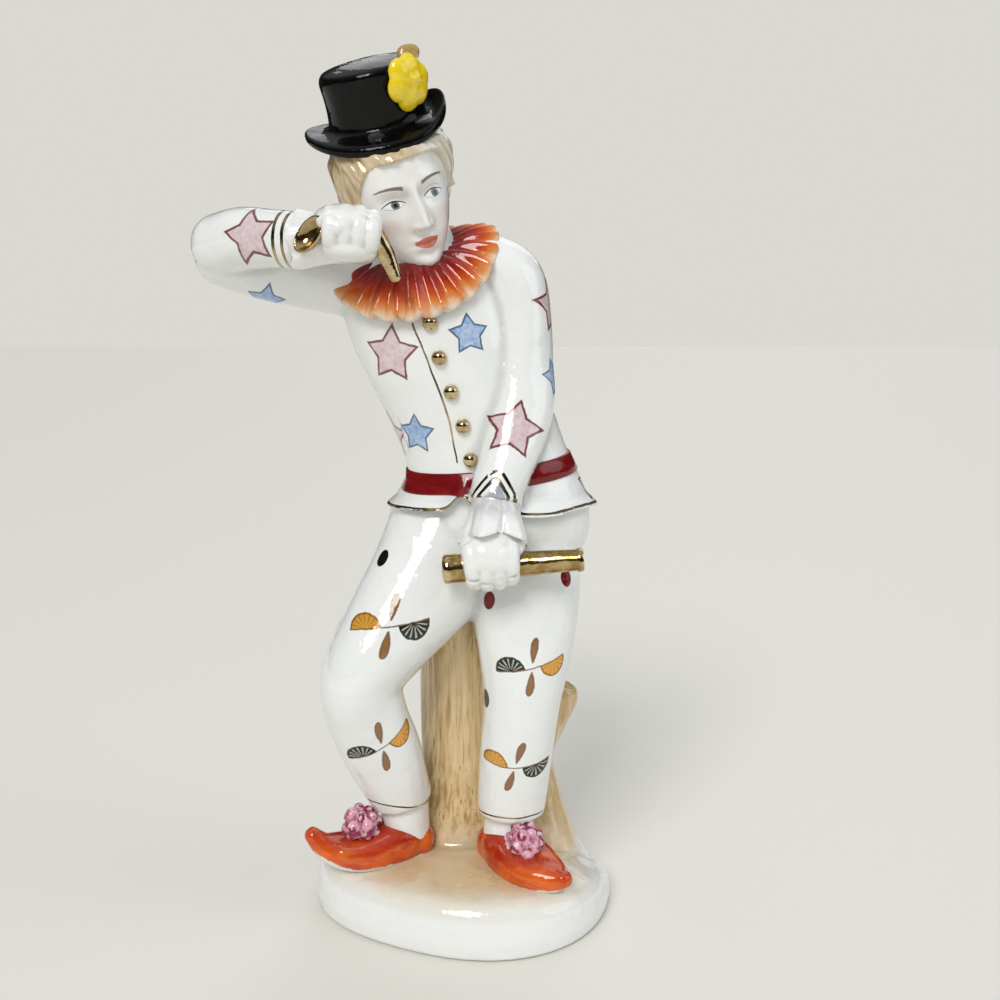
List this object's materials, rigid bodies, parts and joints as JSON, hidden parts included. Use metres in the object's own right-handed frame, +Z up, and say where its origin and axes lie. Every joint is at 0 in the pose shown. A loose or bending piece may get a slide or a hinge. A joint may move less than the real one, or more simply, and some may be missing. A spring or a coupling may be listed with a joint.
{
  "type": "clown figurine",
  "caption": "Glazed porcelain clown in a top hat and pleated collar, leaning with one arm raised, on a low mound with a tree stump behind the legs.",
  "frame": {"origin": "middle of the mound's flat underside", "axes": "+Z up through the hat, -Y the side the clown faces, +X the clown's left"},
  "size_m": [0.1336, 0.0837, 0.2769],
  "materials": {
    "glazed_porcelain": "high-gloss clear glaze over white porcelain, hand painted, with gilding"
  },
  "bodies": {
    "root": {"clown_figurine": "glazed_porcelain"}
  },
  "joints": []
}
